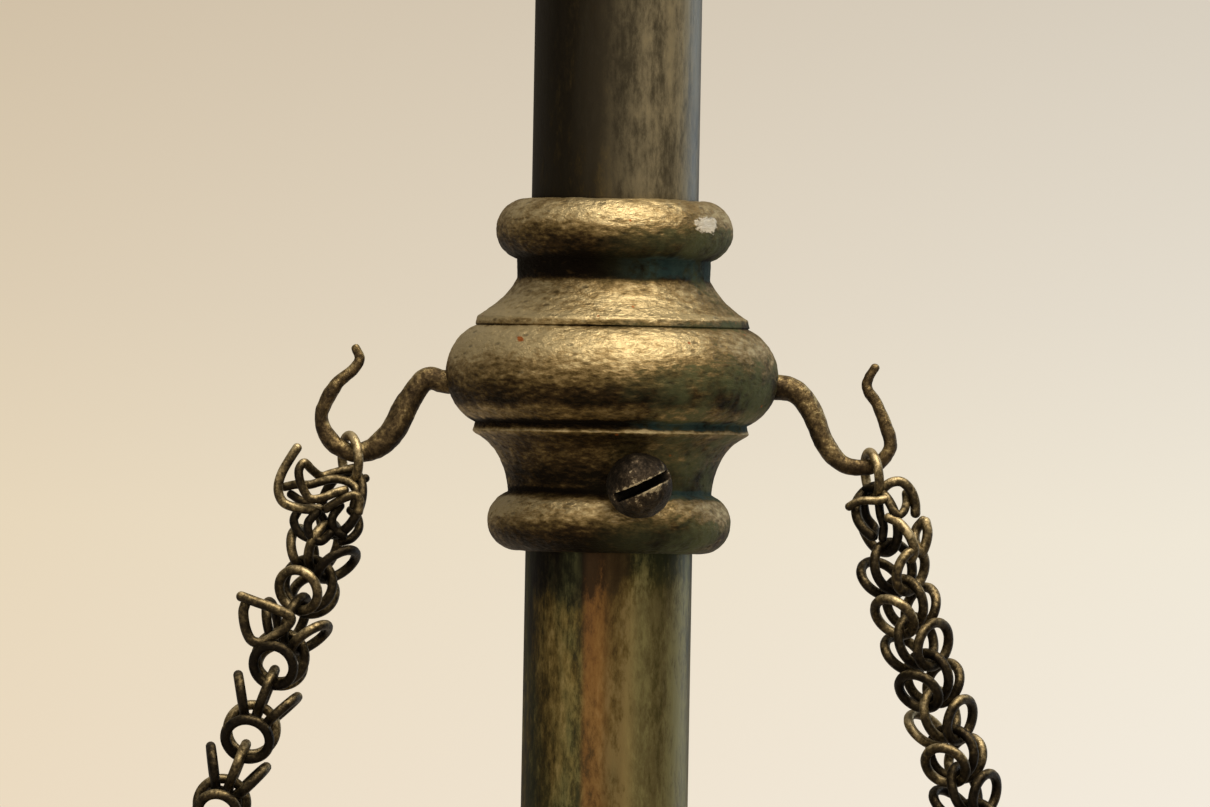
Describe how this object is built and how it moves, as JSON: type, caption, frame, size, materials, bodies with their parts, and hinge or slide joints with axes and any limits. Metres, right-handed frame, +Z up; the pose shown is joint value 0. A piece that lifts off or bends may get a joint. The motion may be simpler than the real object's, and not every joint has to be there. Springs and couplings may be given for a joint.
{
  "type": "hanging weighing scale",
  "caption": "Hanging tubular spring scale: a moulded collar slides on a brass tube and carries a round pan on woven chains.",
  "frame": {"origin": "where a hook bears inside the top of the suspension ring, on the scale's axis", "axes": "+Z up along the tube, X across the two chain hooks, -Y to the front, the side of the clamp screw"},
  "size_m": [0.225, 0.225, 0.3951],
  "materials": {
    "cast_brass": "aged sand-cast brass, olive-gold with dark brown recesses and specks of green",
    "tube_brass": "drawn brass tube, dark olive-brown, mottled and rubbed along its length",
    "pan_brass": "spun brass sheet, dulled and finely scratched",
    "hook_bronze": "forged brass wire with a dark bronze-brown skin",
    "chain_wire": "drawn brass wire, dark umber with pale gold where it rubs",
    "screw_steel": "dull grey-brown old steel",
    "spring_steel": "oiled spring steel"
  },
  "bodies": {
    "suspension": {"suspension_ring": "cast_brass"},
    "swivel": {"swivel_eye": "cast_brass", "swivel_washer": "pan_brass", "swivel_nut": "screw_steel"},
    "housing": {"scale_tube": "tube_brass", "top_cap": "cast_brass", "top_cap_screw_left": "screw_steel", "top_cap_screw_right": "screw_steel", "bottom_cap": "cast_brass", "bottom_cap_screw_left": "screw_steel", "bottom_cap_screw_right": "screw_steel", "bottom_finial": "cast_brass", "spring_seat": "pan_brass", "load_spring": "spring_steel"},
    "slider": {"collar": "cast_brass", "carriage": "pan_brass", "carriage_screw": "screw_steel", "hook_left": "hook_bronze", "hook_right": "hook_bronze"},
    "clamp": {"clamp_screw": "screw_steel"},
    "link_left": {"hook_link_left": "chain_wire"},
    "link_right": {"hook_link_right": "chain_wire"},
    "hanger_left": {"chain_left": "chain_wire", "chain_end_ring_left": "chain_wire", "stirrup_left": "hook_bronze"},
    "hanger_right": {"chain_right": "chain_wire", "chain_end_ring_right": "chain_wire", "stirrup_right": "hook_bronze"},
    "weighing_pan": {"pan": "pan_brass"}
  },
  "joints": [
    {"name": "ring_swing", "type": "hinge", "parent": "suspension", "child": "swivel", "pos_m": [0, 0, -0.02975], "axis": [1, 0, 0], "range_deg": [-35, 35]},
    {"name": "body_swivel", "type": "hinge", "parent": "swivel", "child": "housing", "pos_m": [0, 0, -0.0443], "axis": [0, 0, 1], "continuous": true},
    {"name": "load_slide", "type": "slide", "parent": "housing", "child": "slider", "axis": [0, 0, -1], "range_m": [0, 0.075], "stiffness_N_per_m": 656, "springref_m": -0.02, "deforming": ["load_spring"]},
    {"name": "clamp_turn", "type": "hinge", "parent": "slider", "child": "clamp", "pos_m": [0.00329, -0.01617, -0.1644], "axis": [0.1994, -0.9799, 0], "range_deg": [0, 360]},
    {"name": "swing_left", "type": "hinge", "parent": "slider", "child": "link_left", "pos_m": [-0.0296, 0, -0.16125], "axis": [0.9999, 0, -0.0101], "range_deg": [-20, 20]},
    {"name": "swing_right", "type": "hinge", "parent": "slider", "child": "link_right", "pos_m": [0.0298, 0, -0.16185], "axis": [0.9999, 0, -0.0101], "range_deg": [-20, 20]},
    {"name": "sway_left", "type": "hinge", "parent": "link_left", "child": "hanger_left", "pos_m": [-0.0296, 0, -0.16455], "axis": [0, 1, 0], "range_deg": [-8, 8]},
    {"name": "sway_right", "type": "hinge", "parent": "link_right", "child": "hanger_right", "pos_m": [0.0298, 0, -0.16538], "axis": [0, 1, 0], "range_deg": [-8.1, 8.1]},
    {"name": "pan_level", "type": "hinge", "parent": "hanger_left", "child": "weighing_pan", "pos_m": [-0.10652, 0, -0.362], "axis": [0, 1, 0], "range_deg": [-2.3, 2.3]}
  ],
  "couplings": [
    {"joint": "swing_right", "follows": "swing_left", "ratio": 1},
    {"joint": "sway_right", "follows": "sway_left", "ratio": 1.005},
    {"joint": "pan_level", "follows": "sway_left", "ratio": -0.2775}
  ]
}
